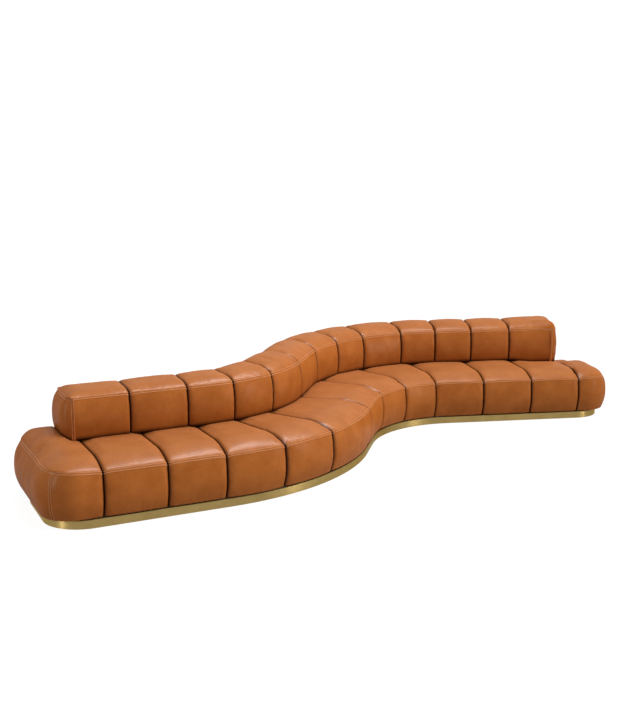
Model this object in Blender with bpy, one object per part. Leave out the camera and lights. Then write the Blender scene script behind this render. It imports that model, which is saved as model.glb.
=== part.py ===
"""Serpentine sofa: channelled leather seat and back in three joined modules on a brass plinth.

Metres, +Z up. A place is given as (s, w, z): s runs along the centre line from the left end of the
plinth, w runs square to it towards the rear, and z is the height above the floor.
"""

import math
from collections import namedtuple
from itertools import accumulate

import bmesh
import bpy
from mathutils import Vector

# Centre line: straight wing, bend to the rear, straight link, bend back, straight wing
START_HEADING = math.radians(8.5)
LEFT_STRAIGHT = 1.225
LEFT_RADIUS = 1.425
LEFT_TURN = math.radians(51.5)
LINK_STRAIGHT = 0.320
RIGHT_RADIUS = 1.345
RIGHT_TURN = math.radians(68.5)

# Channel widths along the centre line, from left to right, one group for each module
SEAT_WIDTHS_LEFT = (0.339, 0.440, 0.420, 0.360, 0.375)
SEAT_WIDTHS_MIDDLE = (0.600, 0.635, 0.565)
SEAT_WIDTHS_RIGHT = (0.510, 0.520, 0.455, 0.455, 0.243)
BACK_WIDTHS_LEFT = (0.484, 0.430, 0.390, 0.420)
BACK_SHARES_MIDDLE = (0.525, 0.550, 0.390, 0.335)
BACK_WIDTHS_RIGHT = (0.400, 0.325, 0.355, 0.380, 0.501)

# Plinth footprint, and how far the seat and the back stand from it
PLINTH_FRONT = 0.470
PLINTH_REAR = 0.485
PLINTH_CORNER = 0.275
SEAT_OVERHANG = 0.036
SEAT_END_OVERHANG = 0.070
SEAT_CORNER = 0.250
BACK_FRONT = 0.057
BACK_REAR = 0.450
BACK_CORNER = 0.090

# Heights of the base, from the floor up
GLIDE_HEIGHT = 0.005
BASE_THICKNESS = 0.018
BAND_TOP = 0.064
SHADOW_GAP = 0.0085
DECK_TOP = 0.315
DECK_THICKNESS = 0.015

# Cross-section of the seat: a bulging side, a stitched edge and a rounded shoulder above it
SEAT_WAIST = 0.220
SEAT_STITCH = 0.385
SEAT_SHOULDER_WIDTH = 0.260
SEAT_SHOULDER_RISE = 0.070
SEAT_SHOULDER_TURN = math.radians(40)
SEAT_LOW_TUCK = 0.027
SEAT_HIGH_TUCK = 0.019

# Cross-section of the back, with heights from the seat's top. Its own top slopes up to the rear
BACK_WAIST_RISE = 0.145
BACK_FRONT_STITCH_RISE = 0.298
BACK_FRONT_SHOULDER_WIDTH = 0.140
BACK_FRONT_SHOULDER_RISE = 0.055
BACK_REAR_STITCH_RISE = 0.305
BACK_REAR_SHOULDER_WIDTH = 0.100
BACK_REAR_SHOULDER_RISE = 0.062
BACK_SHOULDER_TURN = math.radians(20)
BACK_LOW_TUCK = 0.010
BACK_HIGH_TUCK = 0.024

# Channels: the draw-in at each seam, its rounding, and the crown between two seams
SEAM_DEPTH = 0.024
SEAM_ROUND = 0.035
CHANNEL_CROWN = 0.008

# Carcass boards
RAIL_THICKNESS = 0.022
END_THICKNESS = 0.018
PANEL_FRONT = 0.235
PANEL_THICKNESS = 0.025
PANEL_LIFT = 0.020
PANEL_HEIGHT = 0.215
PANEL_END_INSET = 0.080
LEG_WIDTH = 0.060
LEG_SEAMS = (2, 4, 6, 7, 9, 11)

# Metalwork and glides
BAND_THICKNESS = 0.002
BAND_FLANGE = 0.012
JOINING_PLATE_LENGTH = 0.180
JOINING_PLATE_WIDTH = 0.300
JOINING_PLATE_THICKNESS = 0.004
GLIDE_WIDTH = 0.060
GLIDE_INSET = 0.050
GLIDE_END_INSET = 0.150

# Clearances: between touching pieces, round a leg between two channels, and inside the band's flange
FIT = 0.0003
LEG_CLEARANCE = 0.001
FLANGE_CLEARANCE = 0.005

# Smoothness of the bent boards, rounded corners and seams, and the flat left at a free end
STATION_STEP = 0.120
CORNER_STEPS = 5
SHOULDER_STEPS = 3
SIDE_STEPS = 2
MIDDLE_STEPS = 3
SEAM_STEP_SHARE = 0.3
END_FLAT_STEPS = 0.8

MODULES = ("left", "middle", "right")
LEATHER = ("cognac_leather", (0.402, 0.127, 0.038), 0.42, 0.0)
PLYWOOD = ("birch_plywood", (0.600, 0.420, 0.240), 0.70, 0.0)
BRASS = ("brushed_brass", (0.560, 0.390, 0.170), 0.30, 1.0)
STEEL = ("zinc_steel", (0.550, 0.560, 0.580), 0.40, 1.0)
FELT = ("black_felt", (0.020, 0.020, 0.022), 0.95, 0.0)

# One edge of a cushion: tucks at its foot and its stitching, three heights, and its shoulder
Edge = namedtuple(
    "Edge", "low_tuck high_tuck bottom waist stitch shoulder_width shoulder_rise shoulder_turn"
)


def joint_places():
    """The two places along the centre line where the modules meet, and the right end of the plinth."""
    left = sum(SEAT_WIDTHS_LEFT)
    middle = left + sum(SEAT_WIDTHS_MIDDLE)
    return left, middle, middle + sum(SEAT_WIDTHS_RIGHT)


LEFT_JOINT, RIGHT_JOINT, LENGTH = joint_places()
MODULE_SPANS = ((0.0, LEFT_JOINT), (LEFT_JOINT, RIGHT_JOINT), (RIGHT_JOINT, LENGTH))


def seat_seams():
    widths = SEAT_WIDTHS_LEFT + SEAT_WIDTHS_MIDDLE + SEAT_WIDTHS_RIGHT
    return [-SEAT_END_OVERHANG, *list(accumulate(widths))[:-1], LENGTH + SEAT_END_OVERHANG]


def back_seams():
    """The outer modules' channels run out from the joints, and the middle ones fill what is between."""
    left = [LEFT_JOINT - width for width in accumulate(reversed(BACK_WIDTHS_LEFT))]
    scale = (RIGHT_JOINT - LEFT_JOINT) / sum(BACK_SHARES_MIDDLE)
    middle = [LEFT_JOINT + share * scale for share in accumulate(BACK_SHARES_MIDDLE)]
    right = [RIGHT_JOINT + width for width in accumulate(BACK_WIDTHS_RIGHT)]
    return [*reversed(left), LEFT_JOINT, *middle[:-1], RIGHT_JOINT, *right]


SEAT_SEAMS = seat_seams()
BACK_SEAMS = back_seams()
LEG_PLACES = [SEAT_SEAMS[number] for number in LEG_SEAMS]
BASE_BOTTOM = GLIDE_HEIGHT + FIT
BASE_TOP = BASE_BOTTOM + BASE_THICKNESS
DECK_BOTTOM = DECK_TOP - DECK_THICKNESS
SEAT_TOP = SEAT_STITCH + SEAT_SHOULDER_RISE
BACK_BOTTOM = SEAT_TOP + FIT
BACK_WAIST = SEAT_TOP + BACK_WAIST_RISE
PANEL_BOTTOM = SEAT_TOP + PANEL_LIFT
PANEL_TOP = PANEL_BOTTOM + PANEL_HEIGHT
FLANGE_CORNER = PLINTH_CORNER - BAND_FLANGE - FLANGE_CLEARANCE
CARCASS_INSET = PLINTH_CORNER - FLANGE_CORNER / math.sqrt(2)
RAIL_FRONT = CARCASS_INSET - PLINTH_FRONT
RAIL_REAR = PLINTH_REAR - CARCASS_INSET
CARCASS_START = CARCASS_INSET
CARCASS_STOP = LENGTH - CARCASS_INSET
PANEL_START = BACK_SEAMS[0] + PANEL_END_INSET
PANEL_STOP = BACK_SEAMS[-1] - PANEL_END_INSET

SEAT_EDGE = Edge(
    SEAT_LOW_TUCK,
    SEAT_HIGH_TUCK,
    BAND_TOP + SHADOW_GAP,
    SEAT_WAIST,
    SEAT_STITCH,
    SEAT_SHOULDER_WIDTH,
    SEAT_SHOULDER_RISE,
    SEAT_SHOULDER_TURN,
)
BACK_FRONT_EDGE = Edge(
    BACK_LOW_TUCK,
    BACK_HIGH_TUCK,
    BACK_BOTTOM,
    BACK_WAIST,
    SEAT_TOP + BACK_FRONT_STITCH_RISE,
    BACK_FRONT_SHOULDER_WIDTH,
    BACK_FRONT_SHOULDER_RISE,
    BACK_SHOULDER_TURN,
)
BACK_REAR_EDGE = Edge(
    BACK_LOW_TUCK,
    BACK_HIGH_TUCK,
    BACK_BOTTOM,
    BACK_WAIST,
    SEAT_TOP + BACK_REAR_STITCH_RISE,
    BACK_REAR_SHOULDER_WIDTH,
    BACK_REAR_SHOULDER_RISE,
    BACK_SHOULDER_TURN,
)


def place(s, w, z):
    """The point at s along the centre line and w behind it, at height z."""
    runs = (
        (LEFT_STRAIGHT, 0.0),
        (LEFT_RADIUS * LEFT_TURN, 1 / LEFT_RADIUS),
        (LINK_STRAIGHT, 0.0),
        (RIGHT_RADIUS * RIGHT_TURN, -1 / RIGHT_RADIUS),
        (math.inf, 0.0),
    )
    x, y, heading, left = 0.0, 0.0, START_HEADING, s
    for length, bend in runs:
        step = min(left, length)
        turned = heading + bend * step
        if bend:
            x += (math.sin(turned) - math.sin(heading)) / bend
            y -= (math.cos(turned) - math.cos(heading)) / bend
        else:
            x += step * math.cos(heading)
            y += step * math.sin(heading)
        heading = turned
        left -= step
        if left <= 0:
            break
    return Vector((x - w * math.sin(heading), y + w * math.cos(heading), z))


def all_stations():
    """Places along the line where every bent board has a corner, so that neighbours fit face to face."""
    found = {leg + side * LEG_WIDTH / 2 for leg in LEG_PLACES for side in (-1, 1)}
    found |= {s + side * END_THICKNESS for s in (LEFT_JOINT, RIGHT_JOINT) for side in (-1, 1)}
    for start, stop in MODULE_SPANS:
        steps = math.ceil((stop - start) / STATION_STEP)
        found |= {start + (stop - start) * step / steps for step in range(steps + 1)}
    return sorted(found)


STATIONS = all_stations()


def run(start, stop):
    inside = [s for s in STATIONS if start + FIT < s < stop - FIT]
    return [start, *inside, stop]


def material(kind):
    name, colour, roughness, metallic = kind
    found = bpy.data.materials.get(name)
    if found is None:
        found = bpy.data.materials.new(name)
        found.use_nodes = True
        found.diffuse_color = (*colour, 1.0)
        shader = found.node_tree.nodes["Principled BSDF"]
        shader.inputs["Base Color"].default_value = (*colour, 1.0)
        shader.inputs["Roughness"].default_value = roughness
        shader.inputs["Metallic"].default_value = metallic
    return found


def add_object(name, mesh, kind=None):
    """Makes the object, with its origin in its own middle. A piece with no material is a cutter."""
    bmesh.ops.recalc_face_normals(mesh, faces=mesh.faces)
    corners = [vertex.co for vertex in mesh.verts]
    low = Vector(min(corner[axis] for corner in corners) for axis in range(3))
    high = Vector(max(corner[axis] for corner in corners) for axis in range(3))
    middle = (low + high) / 2
    bmesh.ops.translate(mesh, verts=mesh.verts, vec=-middle)
    data = bpy.data.meshes.new(name)
    mesh.to_mesh(data)
    mesh.free()
    item = bpy.data.objects.new(name, data)
    item.location = middle
    bpy.context.scene.collection.objects.link(item)
    item.parent = ROOT
    if kind is None:
        item.hide_render = True
        item.display_type = "WIRE"
    else:
        data.materials.append(material(kind))
    return item


def loft(rings):
    """A closed body through rings of points, all with one count, with flat caps at both ends."""
    mesh = bmesh.new()
    loops = [[mesh.verts.new(point) for point in ring] for ring in rings]
    count = len(loops[0])
    for first, second in zip(loops, loops[1:]):
        for this in range(count):
            after = (this + 1) % count
            mesh.faces.new((first[this], first[after], second[after], second[this]))
    mesh.faces.new(reversed(loops[0]))
    mesh.faces.new(loops[-1])
    return mesh


def strip(start, stop, front, rear, bottom, top):
    """A board bent along the centre line."""
    section = ((front, bottom), (rear, bottom), (rear, top), (front, top))
    return loft([[place(s, w, z) for w, z in section] for s in run(start, stop)])


def cut(item, cutter, name):
    modifier = item.modifiers.new(name, "BOOLEAN")
    modifier.operation = "DIFFERENCE"
    modifier.solver = "EXACT"
    modifier.object = cutter


def shoulder_height(edge, share):
    """Height of the edge's shoulder at this share of its width from the stitching."""
    turn = edge.shoulder_turn
    angle = math.acos(math.cos(turn) * (1 - share))
    return edge.stitch + edge.shoulder_rise * (math.sin(angle) - math.sin(turn)) / (1 - math.sin(turn))


def edge_rows(edge):
    """Points up one side of a cushion, as (depth from its widest line, height, inward normal)."""
    points = []
    for step in range(SIDE_STEPS, 0, -1):
        share = step / SIDE_STEPS
        points.append((edge.low_tuck * share**2, edge.waist - (edge.waist - edge.bottom) * share))
    for step in range(SIDE_STEPS + 1):
        share = step / SIDE_STEPS
        points.append((edge.high_tuck * share**2, edge.waist + (edge.stitch - edge.waist) * share))
    for step in range(1, SHOULDER_STEPS + 1):
        angle = edge.shoulder_turn + (math.pi / 2 - edge.shoulder_turn) * step / SHOULDER_STEPS
        share = 1 - math.cos(angle) / math.cos(edge.shoulder_turn)
        points.append((edge.high_tuck + edge.shoulder_width * share, shoulder_height(edge, share)))
    normals = [(1.0, 0.0)]
    for before, after in zip(points, points[2:]):
        rise, run_in = after[1] - before[1], after[0] - before[0]
        size = math.hypot(rise, run_in)
        normals.append((rise / size, -run_in / size))
    normals.append((0.0, -1.0))
    return [(*point, *normal) for point, normal in zip(points, normals)]


def edge_heights(edge, depth):
    """The lowest and highest point that lie this deep inside the edge's widest line."""
    low, high = edge.bottom, edge.stitch + edge.shoulder_rise
    if depth < edge.low_tuck:
        low = edge.waist - (edge.waist - edge.bottom) * math.sqrt(depth / edge.low_tuck)
    if depth <= edge.high_tuck:
        high = edge.waist + (edge.stitch - edge.waist) * math.sqrt(depth / edge.high_tuck)
    elif depth < edge.high_tuck + edge.shoulder_width:
        high = shoulder_height(edge, (depth - edge.high_tuck) / edge.shoulder_width)
    return low, high


def at_free_end(edge, corner, reach, depth, height):
    """A point of the edge moved onto the rounded end of the cushion, at reach from that end."""
    low, high = edge_heights(edge, reach)
    height = min(max(height, low), high)
    if reach < corner and depth < reach:
        depth = corner - math.sqrt((corner - depth) ** 2 - (corner - reach) ** 2)
    elif reach < corner:
        depth = max(depth, corner)
    return depth, height


def cushion_section(front, rear, lines, corner, inset, reach):
    """The cushion's outline across the line: up its front, over its top and down its rear."""
    sides = []
    for edge, line, inward in ((front, lines[0], 1), (rear, lines[1], -1)):
        side = []
        for depth, height, normal_in, normal_up in edge_rows(edge):
            depth += normal_in * inset
            height += normal_up * inset
            depth, height = at_free_end(edge, corner, reach, depth, height)
            side.append((line + inward * depth, height))
        sides.append(side)
    return sides[0] + sides[1][::-1]


def seam_inset(distance, width):
    """How far the surface is drawn in at this distance from the nearer seam of a channel."""
    across = max(1 - distance / SEAM_ROUND, 0.0)
    share = 1 - 2 * distance / width
    return SEAM_DEPTH * (1 - math.sqrt(1 - across**2)) + CHANNEL_CROWN * share**2


def channel_stations(start, stop, first, last, corner):
    """Each station of one channel as (s, draw-in, distance to a free end)."""
    width = stop - start
    low = start + (corner if first else SEAM_ROUND)
    high = stop - (corner if last else SEAM_ROUND)
    places = [low + (high - low) * step / MIDDLE_STEPS for step in range(MIDDLE_STEPS + 1)]
    seam_steps = (FIT / 2, SEAM_ROUND * SEAM_STEP_SHARE)
    turn = math.pi / 2 / (CORNER_STEPS + END_FLAT_STEPS)
    turns = [turn * (step + END_FLAT_STEPS) for step in range(CORNER_STEPS)]
    corner_steps = [corner * (1 - math.cos(angle)) for angle in turns]
    places = [start + step for step in (corner_steps if first else seam_steps)] + places
    places += [stop - step for step in reversed(corner_steps if last else seam_steps)]
    stations = []
    for s in places:
        from_start = math.inf if first else s - start
        from_stop = math.inf if last else stop - s
        reach = min(s - start if first else math.inf, stop - s if last else math.inf)
        stations.append((s, seam_inset(min(from_start, from_stop, width / 2), width), reach))
    return stations


def cushions(name, seams, front, rear, lines, corner):
    """One cushion for each channel between two seams. The first and last have a rounded free end."""
    made = []
    for number, (start, stop) in enumerate(zip(seams, seams[1:]), 1):
        rings = []
        for s, inset, reach in channel_stations(
            start, stop, number == 1, number == len(seams) - 1, corner
        ):
            section = cushion_section(front, rear, lines, corner, inset, reach)
            rings.append([place(s, w, z) for w, z in section])
        mesh = loft(rings)
        bmesh.ops.remove_doubles(mesh, verts=mesh.verts, dist=FIT / 10)
        made.append(add_object(f"{name}_{number:02d}", mesh, LEATHER))
    return made


def plinth_front(inset, start, stop):
    return [(s, inset - PLINTH_FRONT) for s in run(start, stop)]


def plinth_rear(inset, start, stop):
    return [(s, PLINTH_REAR - inset) for s in run(start, stop)]


def plinth_end(inset, end, inward, joint):
    """The plinth's edge round one end module: from the joint along the front, and back along the rear."""
    centre = end + inward * PLINTH_CORNER
    span = sorted((centre, joint))
    radius = PLINTH_CORNER - inset
    turns = [math.pi / 2 * step / CORNER_STEPS for step in range(1, CORNER_STEPS)]
    path = plinth_front(inset, *span)[::-inward]
    for turn in turns + [math.pi / 2]:
        along = centre - inward * radius * math.sin(turn)
        path.append((along, PLINTH_CORNER - PLINTH_FRONT - radius * math.cos(turn)))
    for turn in [0.0] + turns:
        along = centre - inward * radius * math.cos(turn)
        path.append((along, PLINTH_REAR - PLINTH_CORNER + radius * math.sin(turn)))
    return path + plinth_rear(inset, *span)[::inward]


def module_joints(module):
    """The module's span, drawn in by half a clearance where it meets another module."""
    start, stop = MODULE_SPANS[MODULES.index(module)]
    start += FIT / 2 if module != "left" else 0.0
    stop -= FIT / 2 if module != "right" else 0.0
    return start, stop


def plinth_outline(inset, module):
    start, stop = module_joints(module)
    if module == "left":
        return plinth_end(inset, start, 1, stop)
    if module == "right":
        return plinth_end(inset, stop, -1, start)
    return plinth_front(inset, start, stop) + plinth_rear(inset, start, stop)[::-1]


def base_board(module):
    outline = plinth_outline(BAND_THICKNESS + FIT, module)
    rings = [[place(s, w, z) for s, w in outline] for z in (BASE_BOTTOM, BASE_TOP)]
    add_object(f"{module}_base_board", loft(rings), PLYWOOD)


def brass_band(name, edge_path):
    """Sheet brass bent to an angle: an upright face, and a flange along its top."""
    under = BAND_TOP - BAND_THICKNESS
    section = (
        (0.0, BASE_BOTTOM),
        (0.0, BAND_TOP),
        (BAND_FLANGE, BAND_TOP),
        (BAND_FLANGE, under),
        (BAND_THICKNESS, under),
        (BAND_THICKNESS, BASE_BOTTOM),
    )
    paths = [[place(s, w, z) for s, w in edge_path(inset)] for inset, z in section]
    add_object(name, loft(list(zip(*paths))), BRASS)


def brass_bands():
    for module in ("left", "right"):
        brass_band(f"{module}_brass_band", lambda inset, part=module: plinth_outline(inset, part))
    span = module_joints("middle")
    brass_band("middle_front_brass_band", lambda inset: plinth_front(inset, *span))
    brass_band("middle_rear_brass_band", lambda inset: plinth_rear(inset, *span))


def carcass(module):
    """Two rails on the base board, a board across each end of them, and the deck on top."""
    start, stop = module_joints(module)
    start = max(start, CARCASS_START)
    stop = min(stop, CARCASS_STOP)
    foot, head = BASE_TOP + FIT, DECK_BOTTOM - FIT
    inner_front, inner_rear = RAIL_FRONT + RAIL_THICKNESS, RAIL_REAR - RAIL_THICKNESS
    front_rail = strip(start, stop, RAIL_FRONT, inner_front, foot, head)
    rear_rail = strip(start, stop, inner_rear, RAIL_REAR, foot, head)
    add_object(f"{module}_front_rail", front_rail, PLYWOOD)
    add_object(f"{module}_rear_rail", rear_rail, PLYWOOD)
    deck = strip(start, stop, RAIL_FRONT, RAIL_REAR, DECK_BOTTOM, DECK_TOP)
    add_object(f"{module}_deck", deck, PLYWOOD)
    for side, near in (("left", start), ("right", stop - END_THICKNESS)):
        board = strip(
            near, near + END_THICKNESS, inner_front + FIT, inner_rear - FIT, foot, head
        )
        add_object(f"{module}_{side}_end_board", board, PLYWOOD)


def back_panel(module):
    """The back's core: a bent panel whose legs go down between seat channels to the deck."""
    start, stop = module_joints(module)
    start = max(start, PANEL_START)
    stop = min(stop, PANEL_STOP)
    rear = PANEL_FRONT + PANEL_THICKNESS
    mesh = strip(start, stop, PANEL_FRONT, rear, PANEL_BOTTOM, PANEL_TOP)
    places = run(start, stop)
    feet = []
    for near, far in zip(places, places[1:]):
        if any(abs((near + far) / 2 - s) < LEG_WIDTH / 2 for s in LEG_PLACES):
            corners = [place(s, w, PANEL_BOTTOM) for s in (near, far) for w in (PANEL_FRONT, rear)]
            middle = sum(corners, Vector()) / len(corners)
            feet.append(min(mesh.faces, key=lambda face: (face.calc_center_median() - middle).length))
    extruded = bmesh.ops.extrude_face_region(mesh, geom=feet)["geom"]
    lowered = [part for part in extruded if isinstance(part, bmesh.types.BMVert)]
    bmesh.ops.translate(mesh, verts=lowered, vec=(0.0, 0.0, DECK_TOP + FIT - PANEL_BOTTOM))
    bmesh.ops.delete(mesh, geom=feet, context="FACES")
    add_object(f"{module}_back_panel", mesh, PLYWOOD)


def glides(module):
    start, stop = module_joints(module)
    start += GLIDE_END_INSET
    stop -= GLIDE_END_INSET
    front = GLIDE_INSET - PLINTH_FRONT
    rear = PLINTH_REAR - GLIDE_INSET - GLIDE_WIDTH
    for side, near in (("front", front), ("rear", rear)):
        mesh = strip(start, stop, near, near + GLIDE_WIDTH, 0.0, GLIDE_HEIGHT)
        add_object(f"{module}_{side}_glide", mesh, FELT)


def joining_plate(name, joint):
    """A steel plate screwed up into both base boards where two modules meet."""
    half = JOINING_PLATE_LENGTH / 2
    middle = (PLINTH_REAR - PLINTH_FRONT) / 2
    front, rear = middle - JOINING_PLATE_WIDTH / 2, middle + JOINING_PLATE_WIDTH / 2
    top = BASE_BOTTOM - FIT
    mesh = strip(joint - half, joint + half, front, rear, top - JOINING_PLATE_THICKNESS, top)
    add_object(name, mesh, STEEL)


def leg_space():
    """What the seat channels leave free for the legs of the back panels."""
    half = LEG_WIDTH / 2 + LEG_CLEARANCE
    front = PANEL_FRONT - LEG_CLEARANCE
    rear = PANEL_FRONT + PANEL_THICKNESS + LEG_CLEARANCE
    section = ((front, 0.0), (rear, 0.0), (rear, BACK_WAIST), (front, BACK_WAIST))
    whole = bmesh.new()
    for s in LEG_PLACES:
        mesh = loft([[place(end, w, z) for w, z in section] for end in (s - half, s + half)])
        bmesh.ops.recalc_face_normals(mesh, faces=mesh.faces)
        one = bpy.data.meshes.new("leg_space")
        mesh.to_mesh(one)
        mesh.free()
        whole.from_mesh(one)
        bpy.data.meshes.remove(one)
    return add_object("leg_space", whole)


def seat():
    lines = (-PLINTH_FRONT - SEAT_OVERHANG, PLINTH_REAR + SEAT_OVERHANG)
    made = cushions("seat_channel", SEAT_SEAMS, SEAT_EDGE, SEAT_EDGE, lines, SEAT_CORNER)
    core = strip(
        CARCASS_START - FIT, CARCASS_STOP + FIT, RAIL_FRONT - FIT, RAIL_REAR + FIT, 0.0, DECK_TOP + FIT
    )
    carcass_space = add_object("carcass_space", core)
    legs = leg_space()
    for number, item in enumerate(made, 1):
        cut(item, carcass_space, "carcass")
        if number in LEG_SEAMS or number - 1 in LEG_SEAMS:
            cut(item, legs, "legs")


def back():
    lines = (BACK_FRONT, BACK_REAR)
    made = cushions(
        "back_channel", BACK_SEAMS, BACK_FRONT_EDGE, BACK_REAR_EDGE, lines, BACK_CORNER
    )
    rear = PANEL_FRONT + PANEL_THICKNESS + FIT
    core = strip(PANEL_START - FIT, PANEL_STOP + FIT, PANEL_FRONT - FIT, rear, 0.0, PANEL_TOP + FIT)
    panel_space = add_object("panel_space", core)
    for item in made:
        cut(item, panel_space, "panel")


def centre_on_floor():
    """Moves the whole sofa so that the middle of its footprint lies at the origin."""
    bpy.context.view_layer.update()
    shown = [item for item in ROOT.children if not item.hide_render]
    corners = [item.matrix_world @ Vector(corner) for item in shown for corner in item.bound_box]
    for axis in range(2):
        places = [corner[axis] for corner in corners]
        ROOT.location[axis] = -(min(places) + max(places)) / 2


for old in list(bpy.data.objects):
    bpy.data.objects.remove(old)
ROOT = bpy.data.objects.new("sofa", None)
bpy.context.scene.collection.objects.link(ROOT)

for module_name in MODULES:
    base_board(module_name)
    carcass(module_name)
    back_panel(module_name)
    glides(module_name)
brass_bands()
joining_plate("left_joining_plate", LEFT_JOINT)
joining_plate("right_joining_plate", RIGHT_JOINT)
seat()
back()
centre_on_floor()
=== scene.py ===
"""Looks of the serpentine sofa: channelled leather cushions, stitched edges and a brushed brass plinth.

Metres, in the frame's own coordinates. As in the solids, s runs along the centre line from the left
end of the plinth, w runs square to it towards the rear, and z is the height above the floor.
"""

import math
from collections import namedtuple

import bmesh
import bpy
import numpy as np
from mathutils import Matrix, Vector


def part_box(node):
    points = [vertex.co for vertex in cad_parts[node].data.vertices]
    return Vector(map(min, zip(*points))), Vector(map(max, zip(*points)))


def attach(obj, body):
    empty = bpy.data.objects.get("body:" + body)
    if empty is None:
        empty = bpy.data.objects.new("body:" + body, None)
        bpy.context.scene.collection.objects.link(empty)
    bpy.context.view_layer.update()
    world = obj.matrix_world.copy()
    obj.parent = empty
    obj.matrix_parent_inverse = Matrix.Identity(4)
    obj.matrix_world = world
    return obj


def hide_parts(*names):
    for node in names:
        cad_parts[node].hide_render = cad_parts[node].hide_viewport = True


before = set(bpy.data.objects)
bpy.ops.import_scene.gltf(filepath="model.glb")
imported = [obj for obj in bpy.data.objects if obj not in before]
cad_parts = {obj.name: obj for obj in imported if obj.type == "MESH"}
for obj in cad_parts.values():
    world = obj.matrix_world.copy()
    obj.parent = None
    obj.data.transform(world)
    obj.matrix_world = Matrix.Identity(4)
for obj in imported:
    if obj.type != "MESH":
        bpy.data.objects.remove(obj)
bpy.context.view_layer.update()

# Centre line of the solids: its start and heading, then straights and bends from left to right
LINE_START = (-2.612725, -0.933774)
START_HEADING = math.radians(8.5)
LEFT_STRAIGHT = 1.225
LEFT_RADIUS = 1.425
LEFT_TURN = math.radians(51.5)
LINK_STRAIGHT = 0.320
RIGHT_RADIUS = 1.345
RIGHT_TURN = math.radians(68.5)
LINE_SAMPLES = np.arange(-0.2, 6.2, 0.001)

# Sections of the cushions: tucks, heights of waist and stitching, the rounded shoulder, tucks of a free
# end, and where, from front to rear, the front's sizes pass into the rear's
Edge = namedtuple(
    "Edge",
    "low_tuck high_tuck waist stitch shoulder_width shoulder_rise shoulder_turn left_tuck right_tuck",
)
SEAT_FRONT_EDGE = Edge(0.027, 0.019, 0.220, 0.385, 0.260, 0.070, math.radians(40), 0.053, 0.045)
SEAT_REAR_EDGE = Edge(0.027, 0.019, 0.220, 0.385, 0.140, 0.070, math.radians(10), 0.053, 0.045)
BACK_FRONT_EDGE = Edge(0.010, 0.024, 0.600, 0.753, 0.140, 0.055, math.radians(20), 0.045, 0.012)
BACK_REAR_EDGE = Edge(0.010, 0.024, 0.600, 0.760, 0.100, 0.062, math.radians(20), 0.045, 0.012)
EDGE_MIX = (0.2, 0.8)

# Foot of a side: its rounding, and how far it reaches in under the cushion
TUCK_ROUND = 0.012
TUCK_REACH = 0.030

# Free ends: radii of the corners (front, left rear, right rear), how far they stand beyond the solids at
# left and right, how much steeper their shoulders are there, how late they curl in below the stitching,
# and the turn from a corner's start to its seam
Ends = namedtuple("Ends", "corners reach steepness curl seam")
SEAT_ENDS = Ends((0.250, 0.150, 0.150), (-0.002, 0.038), (0.85, 2.4), 2.4, math.radians(48))
BACK_ENDS = Ends((0.090, 0.100, 0.100), (0.004, 0.002), (1.2, 3.0), 2.5, math.radians(8))

# Channels: their count in a row, half the gap between two, the draw-in at a seam, its rounding on the side
# that faces left and on the tighter side that faces right, the wall below it, the crown and the skin
CHANNELS = 13
SEAM_GAP = 0.0006
SEAM_DEPTH = 0.022
SEAM_ROUND_LEFT = 0.040
SEAM_ROUND_RIGHT = 0.022
WALL_DEPTH = 0.046
CHANNEL_CROWN = 0.008
SKIN_THICKNESS = 0.018

# How the seat's stuffing has settled: it stands up beside the back at its left end and sinks at its right
# end. A settling moves the cushion up and to the rear where it lies between the places along s (start,
# full, full, stop), in a ramp across w
Settling = namedtuple("Settling", "up rearward along across")
SEAT_SETTLING = (
    Settling(0.030, 0.0, (-0.08, 0.12, 0.22, 0.27), (-0.15, 0.20)),
    Settling(0.014, 0.0, (-1.0, -0.9, 0.02, 0.33), (0.30, 0.0)),
    Settling(0.0, 0.050, (-1.0, -0.9, 0.25, 0.45), (0.10, 0.50)),
    Settling(-0.068, 0.0, (5.22, 5.46, 7.0, 7.1), (-0.10, 0.32)),
    Settling(-0.014, 0.0, (5.40, 5.60, 7.0, 7.1), (0.10, 0.30)),
)

# The back: shifts of its top along s, its bulge to the rear in the bend, and the heights between which its
# foot follows the seat
BACK_TOP = (0.2, 1.6, 2.2, 2.7, 3.4), (-0.030, -0.008, 0.022, 0.022, 0.012)
BACK_BEND = (1.6, 2.1, 2.8, 3.3), (0.0, 0.025, 0.025, 0.0)
BACK_BEND_ACROSS = (0.20, 0.45)
BACK_FOOT = (0.62, 0.46)

# Creases in the leather, along places (s, w, z): three on the back's top, one on the seat's front in the
# bend and one on the seat's left end. Each is pressed into one side of a cushion and fades at both ends
Crease = namedtuple("Crease", "row depth width places")
CREASES = (
    Crease("back_channel", 0.0115, 0.014, ((2.716, 0.413, 0.832), (2.684, 0.276, 0.832))),
    Crease("back_channel", 0.0095, 0.013, ((2.118, 0.330, 0.828), (2.112, 0.155, 0.828))),
    Crease("back_channel", 0.0080, 0.013, ((3.010, 0.330, 0.835), (3.028, 0.235, 0.835))),
    Crease("seat_channel", 0.0045, 0.014, ((2.266, -0.515, 0.330), (2.262, -0.515, 0.125))),
    Crease("seat_channel", 0.0120, 0.013, (
        (-0.037, -0.025, 0.455), (0.018, 0.055, 0.466), (0.095, 0.095, 0.476), (0.172, 0.105, 0.480),
    )),
)
CREASE_THICKNESS = 0.05
CREASE_FADE = 0.03
# Painted shade along a crease, on the scale of the draw-in's share
CREASE_SHADE = 0.62

# Cloth simulation that fills the covers out, moves no point beyond its reach, and holds points that are
# drawn in by more than a share of a seam's depth
CLOTH = dict(
    quality=4,
    mass=0.3,
    tension_stiffness=15.0,
    compression_stiffness=15.0,
    bending_stiffness=0.5,
    use_pressure=True,
    uniform_pressure_force=4.0,
    shrink_min=-0.006,
)
CLOTH_FRAMES = 20
CLOTH_REACH = 0.008
HELD_SHARE = 0.6

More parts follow.
